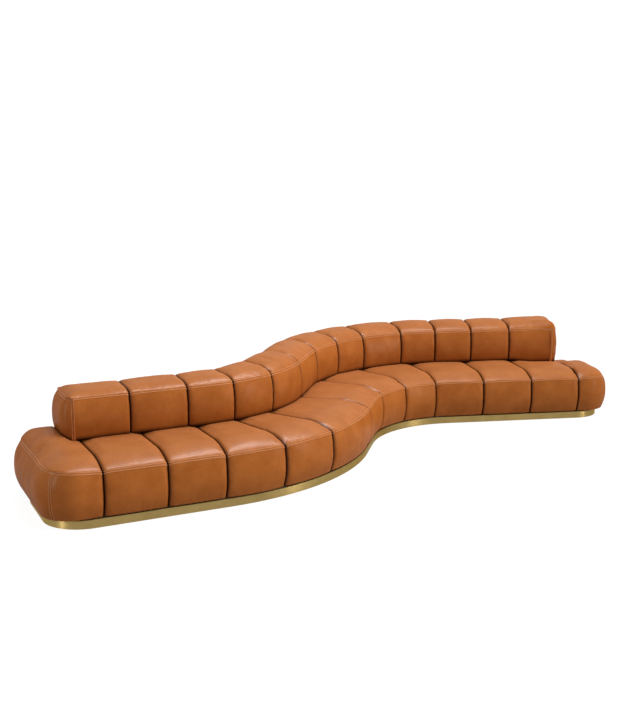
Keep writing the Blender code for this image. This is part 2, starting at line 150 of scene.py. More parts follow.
# Mesh: the step between stations, steps in each half of a side, in its foot, over a shoulder, round a corner
# and round a seam, the rows of a side that are its foot, and the digits that sewn points share
STEP = 0.015
SIDE_STEPS = 9
TUCK_STEPS = 3
SHOULDER_STEPS = 8
CORNER_STEPS = 7
SEAM_STEPS = 7
FOOT_ROWS = TUCK_STEPS + 2
SEWN_DIGITS = 5

# Painted shade towards the foot, with a dark painted contact shadow at the back's foot: heights, and shades
# on the scale of the draw-in's share
SEAT_FOOT_SHADE = ((0.07, 0.25), (0.46, 0.38))
BACK_FOOT_SHADE = ((0.45, 0.47, 0.49, 0.55, 0.66, 0.76), (0.95, 0.85, 0.55, 0.485, 0.425, 0.38))

# Stitched edges: a drawn-in joint between two lips, tacked at both ends, with a row of thread on each lip.
# A lip's side runs outwards as places and heights, a stitch's rings as shares of its length and radius
EDGE_PINCH = 0.0012
SEWN_SHARE = 0.75
SEAM_SMOOTHING = 4
LIP_JOINT = -0.0034
LIP_SIDE = (
    (0.0030, -0.0016),
    (0.0050, 0.0012),
    (0.0080, 0.0025),
    (0.0115, 0.0012),
    (0.0150, -0.0010),
    (0.0150, -0.0045),
)
LIP_PROFILE = [(-x, height) for x, height in reversed(LIP_SIDE)] + [(0.0, LIP_JOINT), *LIP_SIDE]
# Crests higher than this, and the tacked ends, get a painted highlight
LIP_CREST = 0.0015
LIP_TACK = (0.016, 0.004)
STITCH_PITCH = 0.0095
STITCH_LENGTH = 0.0074
STITCH_RADIUS = 0.0008
STITCH_OFFSET = 0.0080
STITCH_LIFT = 0.0025
STITCH_SIDES = 5
STITCH_RINGS = ((-0.5, 0.3), (-0.3, 1.0), (0.3, 1.0), (0.5, 0.3))

# Brass plinth band: radii of its corners at left and right, how far its ends stand beyond the solids, its
# sheet with the rounded upper edge, and the steps in it
BAND_CORNERS = (0.280, 0.275)
BAND_REACH = (0.003, 0.035)
BAND_THICKNESS = 0.002
BAND_FLANGE = 0.012
BAND_ROUND = 0.0040
BAND_ROUND_STEPS = 4
BAND_CORNER_STEPS = 28
BAND_SHARP = math.radians(40)

# Finishes: colours, most as pairs that noise mixes in the middle range of its values
NOISE_RANGE = (0.3, 0.7)
LEATHER_SIDES = ((0.410, 0.117, 0.0200), (0.522, 0.162, 0.0335))
# Tops: a paler copy of the sides' colours, painted light on faces that look up
LEATHER_TOPS_PAINTED_LIGHT = ((0.500, 0.176, 0.0570), (0.565, 0.207, 0.0700))
SPECK_COLOUR = (0.80, 0.73, 0.64)
# Painted highlight on the lips' crests and tacked ends
LIP_HIGHLIGHT_COLOUR = (0.700, 0.330, 0.150)
# Painted shade for the seams' grooves, the lips' joints, the feet and the creases
PAINTED_SHADE_COLOUR = (0.030, 0.007, 0.002)
THREAD_COLOURS = ((0.520, 0.250, 0.110), (0.640, 0.330, 0.160))
BRASS_COLOURS = ((0.340, 0.238, 0.087), (0.288, 0.199, 0.070))
BRASS_TINT = (0.86, 0.74, 0.50)
PLYWOOD_COLOURS = ((0.640, 0.470, 0.290), (0.520, 0.350, 0.190))
PLY_COLOUR = (0.360, 0.220, 0.110)
STEEL_COLOURS = ((0.500, 0.510, 0.530), (0.620, 0.630, 0.650))
FELT_COLOURS = ((0.012, 0.012, 0.013), (0.035, 0.034, 0.036))

# Camera at the photograph's place, for an image of 621 x 717 pixels
CAMERA_PLACE = (-2.874459, -7.871109, 2.382)
CAMERA_TILT = math.radians(11.06)
CAMERA_TURN = math.radians(17.7)
CAMERA_LENS = 51.766
CAMERA_SENSOR = 36.0

# Light: a low sun from the right, a wide lamp overhead, fills that don't reflect, streaks and strips (as s
# and length) that only reflect, the world's share on the object, and the floor, with how white it shows
# where nothing shades it
KEY_STRENGTH = 1.6
KEY_ANGLE = math.radians(25)
KEY_ELEVATION = math.radians(20)
KEY_TURN = math.radians(70)
OVERHEAD = ("overhead", (1.0, -0.6, 4.8), (0.8, -0.2, 0.4), 166.0, (8.0, 4.0))
MIDDLE = (0.0, 0.0, 0.3)
FILLS = (
    ("front_fill", (1.5, -9.5, 3.0), MIDDLE, 50.0, (2.0, 2.0)),
    ("left_fill", (-7.0, -0.5, 1.8), MIDDLE, 45.0, (2.0, 2.0)),
    ("rear_fill", (0.0, 8.5, 2.0), MIDDLE, 110.0, (2.0, 2.0)),
)
STREAKS = (
    ("left_streak", (-6.5, -3.0, 1.5), MIDDLE, 85.0, (0.35, 3.0)),
    ("right_streak", (6.5, -4.6, 1.5), MIDDLE, 95.0, (0.60, 3.0)),
)
STRIPS = ((1.0, 2.8), (2.9, 1.8), (5.0, 2.8))
STRIP_BEHIND = -0.20
STRIP_HEIGHT = 4.6
STRIP_WIDTH = 0.40
STRIP_POWER = 80.0
WORLD_LIGHT = 0.34
FLOOR_HALF = 40.0
FLOOR_CELLS = 8
FLOOR_COLOUR = (0.45, 0.45, 0.45)
FLOOR_WHITE = 0.60
FLOOR_GLOW = 1.54


def plan(s, w):
    """Plan points, as an array of x and y, for arrays of s and w."""
    s, w = np.broadcast_arrays(np.asarray(s, float), np.asarray(w, float))
    runs = (
        (LEFT_STRAIGHT, 0.0),
        (LEFT_RADIUS * LEFT_TURN, 1 / LEFT_RADIUS),
        (LINK_STRAIGHT, 0.0),
        (RIGHT_RADIUS * RIGHT_TURN, -1 / RIGHT_RADIUS),
        (math.inf, 0.0),
    )
    x = np.full(s.shape, LINE_START[0])
    y = np.full(s.shape, LINE_START[1])
    heading = np.full(s.shape, START_HEADING)
    left = s.copy()
    for length, bend in runs:
        step = np.minimum(left, length)
        turned = heading + bend * step
        if bend:
            x += (np.sin(turned) - np.sin(heading)) / bend
            y -= (np.cos(turned) - np.cos(heading)) / bend
        else:
            x += step * np.cos(heading)
            y += step * np.sin(heading)
        heading = turned
        left = np.maximum(left - step, 0.0)
    return np.stack([x - w * np.sin(heading), y + w * np.cos(heading)], axis=-1)


def place(s, w, z):
    """Points in the frame for arrays of s, w and z."""
    flat = plan(s, w)
    height = np.broadcast_to(np.asarray(z, float), flat.shape[:-1])
    return np.concatenate([flat, height[..., None]], axis=-1)


def measure(*names):
    """The least and greatest s and w of these CAD nodes."""
    line = plan(LINE_SAMPLES, 0.0)
    rearward = plan(LINE_SAMPLES, 1.0) - line
    corners = np.array([v.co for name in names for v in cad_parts[name].data.vertices])[:, :2]
    nearest = np.argmin(((corners[:, None] - line[None]) ** 2).sum(-1), axis=1)
    across = ((corners - line[nearest]) * rearward[nearest]).sum(-1)
    along = LINE_SAMPLES[nearest]
    return (along.min(), along.max()), (across.min(), across.max())


def add_object(name, data):
    item = bpy.data.objects.new(name, data)
    bpy.context.scene.collection.objects.link(item)
    return item


def add_mesh(name, points, faces, material, slot):
    """A smooth mesh object with this material; slot is not used."""
    mesh = bpy.data.meshes.new(name)
    mesh.from_pydata(points, [], faces)
    mesh.materials.append(material)
    face_out(mesh)
    mesh.shade_smooth()
    item = add_object(name, mesh)
    return item


def face_out(mesh):
    """Turns the faces of a closed or open skin outwards, by its highest face."""
    build = bmesh.new()
    build.from_mesh(mesh)
    bmesh.ops.recalc_face_normals(build, faces=build.faces)
    highest = max(build.faces, key=lambda face: face.calc_center_median().z)
    if highest.normal.z < 0:
        bmesh.ops.reverse_faces(build, faces=build.faces)
    build.to_mesh(mesh)
    build.free()


def loft(rings):
    """Points and faces of a closed body through rings that all have one count of points."""
    rings = np.asarray(rings)
    count = rings.shape[1]
    points = rings.reshape(-1, 3).tolist()
    faces = []
    for ring in range(len(rings) - 1):
        for this in range(count):
            after = (this + 1) % count
            low, high = ring * count, (ring + 1) * count
            faces.append((low + this, low + after, high + after, high + this))
    faces.append(tuple(reversed(range(count))))
    faces.append(tuple(range(len(points) - count, len(points))))
    return points, faces


def joined(bodies):
    """Several (points, faces) as one."""
    points, faces = [], []
    for more_points, more_faces in bodies:
        start = len(points)
        points += more_points
        faces += [tuple(start + corner for corner in face) for face in more_faces]
    return points, faces


class Skin:
    """A leather skin made of grids whose shared edges are sewn together point to point."""

    def __init__(self):
        self.index = {}
        self.points, self.drawn, self.shades = [], [], []
        self.faces, self.seams, self.feet = [], [], []

    def point(self, spot, drawn, shade):
        """Number of the point here, which grids that meet here share."""
        key = tuple(round(value, SEWN_DIGITS) for value in spot)
        if key not in self.index:
            self.index[key] = len(self.points)
            self.points.append(tuple(spot))
            self.drawn.append(drawn)
            self.shades.append(shade)
        return self.index[key]

    def held_points(self):
        """Numbers of the points that the cloth simulation holds in place."""
        walls = np.flatnonzero(np.array(self.drawn) > SEAM_DEPTH * HELD_SHARE).tolist()
        stitched = [int(k) for centre, _, _ in self.seams for k in centre]
        return sorted(set(walls + stitched + self.feet))

    def grid(self, points, drawn, shades=None):
        """Adds an array of points, stations by rows, and returns their numbers."""
        stations, rows = points.shape[:2]
        places = points.tolist()
        if shades is None:
            shades = np.zeros((stations, rows))
        ids = np.array([
            [self.point(places[i][k], drawn[i], shades[i, k]) for k in range(rows)]
            for i in range(stations)
        ])
        for first, second in zip(ids.tolist(), ids[1:].tolist()):
            for k in range(rows - 1):
                corners = list(dict.fromkeys((first[k], first[k + 1], second[k + 1], second[k])))
                if len(corners) > 2:
                    self.faces.append(corners)
        return ids

    def side(self, points, shades, drawn):
        """Adds a side panel, whose foot is held in place."""
        ids = self.grid(points, drawn, shades)
        self.feet += ids[:, :FOOT_ROWS].ravel().tolist()
        return ids


def lengths(points):
    """How far each point lies along the line through them."""
    return np.concatenate([[0.0], np.cumsum(np.linalg.norm(np.diff(points, axis=0), axis=1))])


def smooth(value, low, high):
    """Rises softly from 0 at low to 1 at high."""
    share = np.clip((value - low) / (high - low), 0.0, 1.0)
    return share * share * (3 - 2 * share)


def shoulder(share, turn):
    """Height of the rounded shoulder, from 0 at the stitching to 1 at the top."""
    angle = np.arccos(np.cos(turn) * (1 - np.clip(share, 0.0, 1.0)))
    return (np.sin(angle) - np.sin(turn)) / (1 - np.sin(turn))


def shoulder_places(turn):
    """Shares of the shoulder's width at even turns, without the stitching itself."""
    angles = np.linspace(turn, math.pi / 2, SHOULDER_STEPS + 1)[1:]
    return 1 - np.cos(angles) / math.cos(turn)


def side_rows(edge, bottom):
    """Up a side, from under its foot to the stitching: shares of both tucks, further depth, height."""
    turns = np.linspace(0.0, math.pi / 2, TUCK_STEPS + 1)
    foot = bottom + TUCK_ROUND
    low = np.linspace(1.0, 0.0, SIDE_STEPS + 1)[1:]
    high = np.linspace(0.0, 1.0, SIDE_STEPS + 1)[1:]
    rounds = [TUCK_ROUND + TUCK_REACH, *(TUCK_ROUND * (1 - np.sin(turns)))]
    low_share = np.concatenate([np.ones(len(rounds)), low**2, np.zeros(len(high))])
    high_share = np.concatenate([np.zeros(len(rounds) + len(low)), high**2])
    further = np.concatenate([rounds, np.zeros(len(low) + len(high))])
    height = np.concatenate([
        [bottom],
        bottom + TUCK_ROUND * (1 - np.cos(turns)),
        edge.waist - (edge.waist - foot) * low,
        edge.waist + (edge.stitch - edge.waist) * high,
    ])
    return low_share, high_share, further, height


def high_tucks(edge, line):
    """Tuck at the stitching for each outline station, larger on a free end."""
    end_tuck = np.where(line[:, 2] > 0, edge.left_tuck, edge.right_tuck)
    return (edge.high_tuck + (end_tuck - edge.high_tuck) * line[:, 2] ** 2)[:, None]


class Row:
    """A row of channels: its nodes, its section, its front and rear lines and its heights."""

    def __init__(self, name, front, rear, ends, settle, foot_shade):
        self.name, self.front, self.rear, self.ends = name, front, rear, ends
        self.settle, self.foot_shade = settle, foot_shade
        self.nodes = [f"{name}_{number:02d}" for number in range(1, CHANNELS + 1)]
        self.spans = [measure(node)[0] for node in self.nodes]
        self.spans[0] = (self.spans[0][0] - ends.reach[0], self.spans[0][1])
        self.spans[-1] = (self.spans[-1][0], self.spans[-1][1] + ends.reach[1])
        self.lines = measure(*self.nodes)[1]
        bottom = min(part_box(node)[0].z for node in self.nodes)
        self.sides = side_rows(front, bottom), side_rows(rear, bottom)
        self.top = self.top_places()
        self.set_normals()

    def top_places(self):
        """Places across the top, from the front stitching to the rear stitching."""
        low = self.lines[0] + self.front.high_tuck
        high = self.lines[1] - self.rear.high_tuck
        front = low + self.front.shoulder_width * shoulder_places(self.front.shoulder_turn)
        rear = high - self.rear.shoulder_width * shoulder_places(self.rear.shoulder_turn)
        steps = math.ceil((rear[-1] - front[-1]) / STEP)
        middle = np.linspace(front[-1], rear[-1], steps + 1)[1:-1]
        return np.concatenate([[low], front, middle, rear[::-1], [high]])

    def between(self, w, name):
        """A size of the two edges, mixed by how far w lies from front to rear."""
        share = np.clip((w - self.top[0]) / (self.top[-1] - self.top[0]), 0.0, 1.0)
        first, second = getattr(self.front, name), getattr(self.rear, name)
        return first + (second - first) * smooth(share, *EDGE_MIX)

    def top_height(self, w, depth):
        """Height of the top at w, where it lies this deep inside the stitching."""
        risen = shoulder(depth / self.between(w, "shoulder_width"), self.between(w, "shoulder_turn"))
        return self.between(w, "stitch") + self.between(w, "shoulder_rise") * risen

    def depth_across(self, w):
        """Depth inside the stitching along the front or the rear."""
        return np.minimum(w - self.top[0], self.top[-1] - w)

    def set_normals(self):
        """Outward normals along the section: of the front side, the top and the rear side."""
        sections = []
        for edge, (low_share, high_share, further, height) in zip((self.front, self.rear), self.sides):
            sections.append((edge.low_tuck * low_share + edge.high_tuck * high_share + further, height))
        (front_depth, front_height), (rear_depth, rear_height) = sections
        top_height = self.top_height(self.top, self.depth_across(self.top))
        rear_w = self.lines[1] - rear_depth
        w = np.concatenate([self.lines[0] + front_depth, self.top[1:-1], rear_w[::-1]])
        z = np.concatenate([front_height, top_height[1:-1], rear_height[::-1]])
        across, up = np.gradient(w), np.gradient(z)
        normals = np.stack([-up, across], axis=-1) / np.hypot(across, up)[:, None]
        front, rear = len(front_depth), len(rear_depth)
        normals[:FOOT_ROWS] = (-1.0, 0.0)
        normals[-FOOT_ROWS:] = (1.0, 0.0)
        self.top_normals = normals[front - 1 : len(w) - rear + 1]
        self.side_normals = normals[:front] * (-1, 1), normals[::-1][:rear]

    def settled(self, s, w, z):
        """Points in the frame, after the stuffing has settled."""
        back, lifted = self.settle(s, w, z)
        return place(s, w + back, z + lifted)


def seat_settled(s, w, z):
    """How far points of the seat have moved to the rear and up."""
    edge = SEAT_FRONT_EDGE
    upper = np.clip((z - edge.waist) / (edge.stitch - edge.waist), 0.0, 1.0)
    back, lifted = 0.0, 0.0
    for item in SEAT_SETTLING:
        start, full, still, stop = item.along
        share = smooth(s, start, full) * smooth(s, stop, still) * smooth(w, *item.across)
        back = back + item.rearward * share
        lifted = lifted + item.up * share * upper
    return back, lifted


def back_settled(s, w, z):
    """How far points of the back have moved to the rear and up."""
    upper = smooth(z, BACK_FRONT_EDGE.stitch, BACK_REAR_EDGE.stitch + BACK_REAR_EDGE.shoulder_rise)
    bulge = np.interp(s, *BACK_BEND) * smooth(w, *BACK_BEND_ACROSS)
    with_seat = seat_settled(s, w, SEAT_FRONT_EDGE.stitch)[1] * smooth(z, *BACK_FOOT)
    return bulge, with_seat + upper * np.interp(s, *BACK_TOP)


def seam_rows(radius):
    """Distance from a seam and draw-in there: up the wall between two channels, then round its edge."""
    turns = np.linspace(0.0, math.pi / 2, SEAM_STEPS + 1)
    distance = [SEAM_GAP, SEAM_GAP, *(SEAM_GAP + radius * (1 - np.cos(turns)))]
    drawn = [WALL_DEPTH, (WALL_DEPTH + SEAM_DEPTH) / 2, *(SEAM_DEPTH * (1 - np.sin(turns)))]
    return np.array(distance), np.array(drawn)


def crown(distance, width):
    """Draw-in towards both seams, so that the middle of a channel stands out."""
    return CHANNEL_CROWN * (1 - 2 * np.minimum(distance, width / 2) / width) ** 2


def inner_places(low, high):
    """Places from low to high, about a step apart, without the first."""
    return np.linspace(low, high, math.ceil(abs(high - low) / STEP) + 1)[1:]


def straight_line(places, w, inward):
    """Outline stations along the front or rear: a place on the outline and the way into the cushion."""
    return np.array([(s, w, 0.0, inward) for s in places])


def corner_line(centre, radius, inward):
    """Outline stations round a corner, for an array of the ways into the cushion."""
    return np.concatenate([np.array(centre) - radius * inward, inward], axis=-1)


def turned(way, angles, side):
    """Ways into the cushion at these angles from the front (side 1) or rear (side -1) towards an end."""
    return np.stack([way * np.sin(angles), side * np.cos(angles)], axis=-1)


def side_panel(row, line, drawn, rear=False):
    """A side panel, outline stations by rows from the foot up to the stitching: points and shades."""
    edge = row.rear if rear else row.front
    low_share, high_share, further, height = row.sides[rear]
    normals = row.side_normals[rear]
    stitch = row.between(line[:, 1] + edge.high_tuck * line[:, 3], "stitch")
    above = np.clip((height - edge.waist) / (edge.stitch - edge.waist), 0.0, 1.0)
    height = height[None] + above[None] * (stitch[:, None] - edge.stitch)
    end_tuck = high_tucks(edge, line) - edge.high_tuck
    depth = edge.low_tuck * low_share + edge.high_tuck * high_share + further
    depth = depth + end_tuck * high_share**row.ends.curl
    depth = depth + drawn[:, None] * normals[None, :, 0]
    height = height - drawn[:, None] * normals[None, :, 1]
    s, w = line[:, 0:1] + depth * line[:, 2:3], line[:, 1:2] + depth * line[:, 3:4]
    return row.settled(s, w, height), np.interp(height, *row.foot_shade)


def inside(line, depth):
    """Outline stations moved into the cushion, as (s, w)."""
    return line[:, :2] + depth * line[:, 2:]


def top_panel(row, s, w, depth, drawn):
    """Points of the top: stations by rows from the front stitching to the rear."""
    height = row.top_height(w, depth) - drawn[:, None] * row.top_normals[None, :, 1]
    return row.settled(s, w - drawn[:, None] * row.top_normals[None, :, 0], height)


def sewn(skin, centre, one_side, other_side, drawn):
    """Keeps a line of stitching: its points, and the next points on both sides of it."""
    shown = drawn < SEAM_DEPTH * SEWN_SHARE
    skin.seams.append((centre[shown], one_side[shown], other_side[shown]))


def middle_channel(row, start, stop):
    """Skin of a channel between two seams."""
    skin = Skin()
    low_distance, seam = seam_rows(SEAM_ROUND_LEFT)
    high_distance, _ = seam_rows(SEAM_ROUND_RIGHT)
    low, high = start + low_distance, stop - high_distance[::-1]
    inner = inner_places(low[-1], high[0])[:-1]
    s = np.concatenate([low, inner, high])
    drawn = np.concatenate([seam, np.zeros(len(inner)), seam[::-1]])
    drawn = drawn + crown(np.minimum(s - start, stop - s), stop - start)
    front = skin.side(*side_panel(row, straight_line(s, row.lines[0], 1), drawn), drawn)
    rear = skin.side(*side_panel(row, straight_line(s, row.lines[1], -1), drawn, True), drawn)
    depth = row.depth_across(row.top)
    top = skin.grid(top_panel(row, s[:, None], row.top[None], depth[None], drawn), drawn)
    sewn(skin, front[:, -1], front[:, -2], top[:, 1], drawn)
    sewn(skin, rear[:, -1], rear[:, -2], top[:, -2], drawn)
    return skin


def patch(front, rear, seam, end):
    """Plan points that fill the space between four lines, each an array of (s, w)."""
    length = lengths(front)
    u = (length / length[-1])[:, None, None]
    v = ((seam[:, 1] - seam[0, 1]) / (seam[-1, 1] - seam[0, 1]))[None, :, None]
    across = (1 - v) * front[:, None] + v * rear[:, None]
    along = (1 - u) * seam[None] + u * end[None]
    corners = (1 - u) * ((1 - v) * front[0] + v * rear[0]) + u * ((1 - v) * front[-1] + v * rear[-1])
    return across + along - corners


def end_depth(row, plane, end, way, corners):
    """Depth inside the stitching on the top of an end channel, rounded in its front and rear corners."""
    end_tuck = row.front.left_tuck if way > 0 else row.front.right_tuck
    reach = way * (plane[..., 0] - end) - end_tuck
    across = row.depth_across(plane[..., 1])
    rearward = plane[..., 1] > (row.top[0] + row.top[-1]) / 2
    radius = np.where(rearward, corners[1], corners[0]) - end_tuck
    rounded = radius - np.hypot(np.maximum(radius - reach, 0.0), np.maximum(radius - across, 0.0))
    depth = np.where((reach < radius) & (across < radius), rounded, np.minimum(reach, across))
    beside_end = across / np.maximum(across + np.maximum(reach, 0.0), STEP)
    depth = depth * (1 + (row.ends.steepness[0 if way > 0 else 1] - 1) * beside_end)
    depth[:, 0] = depth[:, -1] = depth[-1] = 0.0
    return np.maximum(depth, 0.0)


def end_channel(row, seam_place, end, way):
    """Skin of a channel with one seam and one rounded free end. way is 1 where s grows from that end."""
    skin = Skin()
    corner, rear_corner = row.ends.corners[0], row.ends.corners[1 if way > 0 else 2]
    distance, seam = seam_rows(SEAM_ROUND_RIGHT if way > 0 else SEAM_ROUND_LEFT)
    near = seam_place - way * distance
    count = len(inner_places(near[-1], end + way * max(corner, rear_corner)))
    turns = np.linspace(0.0, row.ends.seam, CORNER_STEPS + 1)[1:]
    cap_turns = np.linspace(row.ends.seam, math.pi / 2, SHOULDER_STEPS + 1)
    lines, cap_lines, centres = [], [], []
    for side, w, radius in ((1, row.lines[0], corner), (-1, row.lines[1], rear_corner)):
        centre = end + way * radius, w + side * radius
        places = np.concatenate([near, np.linspace(near[-1], centre[0], count + 1)[1:]])
        bend = corner_line(centre, radius, turned(way, turns, side))
        lines.append(np.concatenate([straight_line(places, w, side), bend]))
        cap_lines.append(corner_line(centre, radius, turned(way, cap_turns, side)))
        centres.append(centre[1])
    front_line, rear_line = lines
    straight = np.linspace(*centres, len(row.top) - 2 * SHOULDER_STEPS)[1:-1]
    cap_middle = np.array([(end, w, way, 0.0) for w in straight])
    end_line = np.concatenate([cap_lines[0], cap_middle, cap_lines[1][::-1]])
    drawn = np.concatenate([seam, np.zeros(count + len(turns))])
    far = np.abs(seam_place - np.concatenate([front_line[: -len(turns), 0], np.full(len(turns), end)]))
    drawn = drawn + crown(far, abs(seam_place - end))
    plane = patch(
        inside(front_line, high_tucks(row.front, front_line)),
        inside(rear_line, high_tucks(row.front, rear_line)),
        np.stack([np.full(len(row.top), near[0]), row.top], axis=-1),
        inside(end_line, high_tucks(row.front, end_line)),
    )
    depth = end_depth(row, plane, end, way, (corner, rear_corner))
    still = np.zeros(len(end_line))
    front = skin.side(*side_panel(row, front_line, drawn), drawn)
    rear = skin.side(*side_panel(row, rear_line, drawn, True), drawn)
    cap = skin.side(*side_panel(row, end_line, still), still)
    top = skin.grid(top_panel(row, plane[..., 0], plane[..., 1], depth, drawn), drawn)
    sewn(skin, front[:, -1], front[:, -2], top[:, 1], drawn)
    sewn(skin, rear[:, -1], rear[:, -2], top[:, -2], drawn)
    sewn(skin, cap[:, -1], cap[:, -2], top[-2], still)
    upright = np.zeros(front.shape[1])
    sewn(skin, front[-1], front[-2], cap[1], upright)
    sewn(skin, rear[-1], rear[-2], cap[-2], upright)
    return skin


def channel(row, number):
    start, stop = row.spans[number]
    if number == 0:
        return end_channel(row, stop, start, 1)
    if number == CHANNELS - 1:
        return end_channel(row, start, stop, -1)
    return middle_channel(row, start, stop)


def vectors(items, name):
    """What each of a mesh's items holds under this name, as rows of x, y and z."""
    found = np.empty(len(items) * 3)
    items.foreach_get(name, found)
    return found.reshape(-1, 3)


def set_attribute(mesh, name, values):
    attribute = mesh.attributes.new(name, "FLOAT", "POINT")
    attribute.data.foreach_set("value", np.asarray(values, np.float32))


def closed_shell(item):
    """Gives the skin its thickness, so that the cushion is a closed form."""
    modifier = item.modifiers.new("thickness", "SOLIDIFY")
    modifier.thickness = SKIN_THICKNESS
    modifier.offset = -1.0
    graph = bpy.context.evaluated_depsgraph_get()
    mesh = bpy.data.meshes.new_from_object(item.evaluated_get(graph))
    item.modifiers.clear()
    item.data = mesh
    mesh.shade_smooth()


def unit(ways):
    return ways / np.linalg.norm(ways, axis=-1, keepdims=True)


def evened(values):
    """Values along a line, averaged with their neighbours. Both ends stay as they are."""
    even = values.copy()
    for _ in range(SEAM_SMOOTHING):
        even[1:-1] = (even[:-2] + 2 * even[1:-1] + even[2:]) / 4
    return even


def seam_frames(points, normals, seam):
    """Along a stitched line, evened without sinking in bends: points, normals and ways to both sides."""
    centre, one_side, other_side = seam
    p = points[centre]
    ways = normals[centre], unit(points[one_side] - p), unit(points[other_side] - p)
    even = evened(p)
    even = even + evened(p - even)
    return even, *(unit(evened(way)) for way in ways)


def near_ends(points):
    """1 at both ends of a stitched line, where the tacks are, and 0 further along."""
    length = lengths(points)
    return smooth(np.minimum(length, length[-1] - length), *LIP_TACK)


def lips(frames):
    """A closed strip along a stitched line: both lips and the joint between them."""
    p, n, one_side, other_side = frames
    rings = [p + abs(x) * (one_side if x < 0 else other_side) + height * n for x, height in LIP_PROFILE]
    return loft(np.stack(rings, axis=1))


def stitches(frames):
    """Short threads, in two rows, along a stitched line."""
    p, n, one_side, other_side = frames
    length = lengths(p)
    at = np.arange(STITCH_PITCH / 2, length[-1], STITCH_PITCH)

    def along(values):
        return np.stack([np.interp(at, length, values[:, axis]) for axis in range(3)], axis=-1)

    centre, up = along(p), unit(along(n))
    ahead = unit(np.gradient(centre, axis=0))
    turns = np.linspace(0.0, 2 * math.pi, STITCH_SIDES, endpoint=False)
    bodies = []
    for side in (along(one_side), along(other_side)):
        middle = centre + STITCH_OFFSET * unit(side) + STITCH_LIFT * up
        across = np.cross(ahead, up)
        rings = []
        for share, size in STITCH_RINGS:
            foot = middle + share * STITCH_LENGTH * ahead - (1 - size) * STITCH_RADIUS * up
            ring = [
                foot + size * STITCH_RADIUS * (math.cos(turn) * across + math.sin(turn) * up)
                for turn in turns
            ]
            rings.append(np.stack(ring, axis=1))
        bodies += [loft(body) for body in np.stack(rings, axis=1)]
    return joined(bodies)


def cover(row, leather):
    """Open skins of all channels of a row, each with its object."""
    covers = []
    for number, node in enumerate(row.nodes):
        skin = channel(row, number)
        item = add_mesh(f"{node}_leather", skin.points, skin.faces, leather, "leather")
        covers.append((skin, item))
    return covers


def fill_out(covers):
    """Cloth simulation: pressure fills every skin out, held at its seams, its stitching and its foot."""
    scene = bpy.context.scene
    for skin, item in covers:
        held = item.vertex_groups.new(name="held")
        held.add(skin.held_points(), 1.0, "REPLACE")
        cloth = item.modifiers.new("stuffing", "CLOTH")
        cloth.settings.vertex_group_mass = "held"
        for name, value in CLOTH.items():
            setattr(cloth.settings, name, value)
        cloth.settings.effector_weights.gravity = 0.0
        cloth.collision_settings.use_collision = False
        cloth.point_cache.frame_start, cloth.point_cache.frame_end = 1, CLOTH_FRAMES
    for number in range(1, CLOTH_FRAMES + 1):
        scene.frame_set(number)
    graph = bpy.context.evaluated_depsgraph_get()
    filled = [vectors(item.evaluated_get(graph).data.vertices, "co") for _, item in covers]
    for (_, item), points in zip(covers, filled):
        before = vectors(item.data.vertices, "co")
        moved = points - before
        length = np.linalg.norm(moved, axis=1, keepdims=True)
        moved *= np.minimum(1.0, CLOTH_REACH / np.maximum(length, CLOTH_REACH))
        item.modifiers.clear()
        item.vertex_groups.clear()
        item.data.vertices.foreach_set("co", (before + moved).ravel())
        item.data.update()
    scene.frame_set(1)


def crease(row, points, normals):
    """Presses the creases of a row into its leather, and returns how strong they are at each point."""
    pressed = np.zeros(len(points))
    for item in CREASES:
        if item.row != row.name:
            continue
        line = np.array([place(*spot) for spot in item.places])
        begins = lengths(line)
        best, along = np.full(len(points), np.inf), np.zeros(len(points))
        for start, stop, begin in zip(line, line[1:], begins):
            way = stop - start
            share = np.clip((points - start) @ way / (way @ way), 0.0, 1.0)
            offset = points - start - share[:, None] * way
            through = (offset * normals).sum(1)
            distance = np.sqrt(np.maximum((offset**2).sum(1) - through**2, 0.0))
            distance[np.abs(through) > CREASE_THICKNESS] = np.inf
            nearer = distance < best
            best = np.where(nearer, distance, best)
            along = np.where(nearer, begin + share * np.linalg.norm(way), along)
        fade = smooth(np.minimum(along, begins[-1] - along), 0.0, CREASE_FADE)
        share = fade * np.exp(-((best / item.width) ** 2))
        points -= item.depth * share[:, None] * normals
        pressed = np.maximum(pressed, share)
    return pressed


def upholster(row, covers, leather, thread):
    """Every channel of a row, with the lips and thread of its stitched edges."""
    lip_lines, thread_bodies = [], []
    for node, (skin, item) in zip(row.nodes, covers):
        mesh = item.data
        points, normals = vectors(mesh.vertices, "co"), vectors(mesh.vertex_normals, "vector")
        pressed = crease(row, points, normals)
        # Painted shade, kept in the attribute drawn: by the seams' draw-in, towards the foot and along
        # creases
        drawn = np.clip(np.array(skin.drawn) / SEAM_DEPTH, 0.0, 1.0)
        drawn = np.maximum(drawn, skin.shades)
        set_attribute(mesh, "drawn", np.maximum(drawn, CREASE_SHADE * pressed))
        for centre, _, _ in skin.seams:
            points[centre] -= EDGE_PINCH * normals[centre]
        mesh.vertices.foreach_set("co", points.ravel())
        mesh.update()
        for seam in skin.seams:
            frames = seam_frames(points, normals, seam)
            lip_lines.append((lips(frames), near_ends(frames[0])))
            thread_bodies.append(stitches(frames))
        closed_shell(item)
        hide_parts(node)
        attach(item, "root")
    lip_body = joined([body for body, _ in lip_lines])
    seam_lips = add_mesh(f"{row.name}_seam_lips", *lip_body, leather, "leather")
    # The lips' joint gets painted shade, and their crests and tacked ends a painted highlight
    joint = np.array([abs(x) <= LIP_SIDE[0][0] for x, _ in LIP_PROFILE])
    crest = np.array([height > LIP_CREST for _, height in LIP_PROFILE])
    ends = np.concatenate([ends for _, ends in lip_lines])[:, None]
    set_attribute(seam_lips.data, "drawn", (joint * (1 - ends)).ravel())
    set_attribute(seam_lips.data, "lip_highlight", np.maximum(crest, ends).ravel())
    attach(seam_lips, "root")
    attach(add_mesh(f"{row.name}_stitches", *joined(thread_bodies), thread, "leather"), "root")


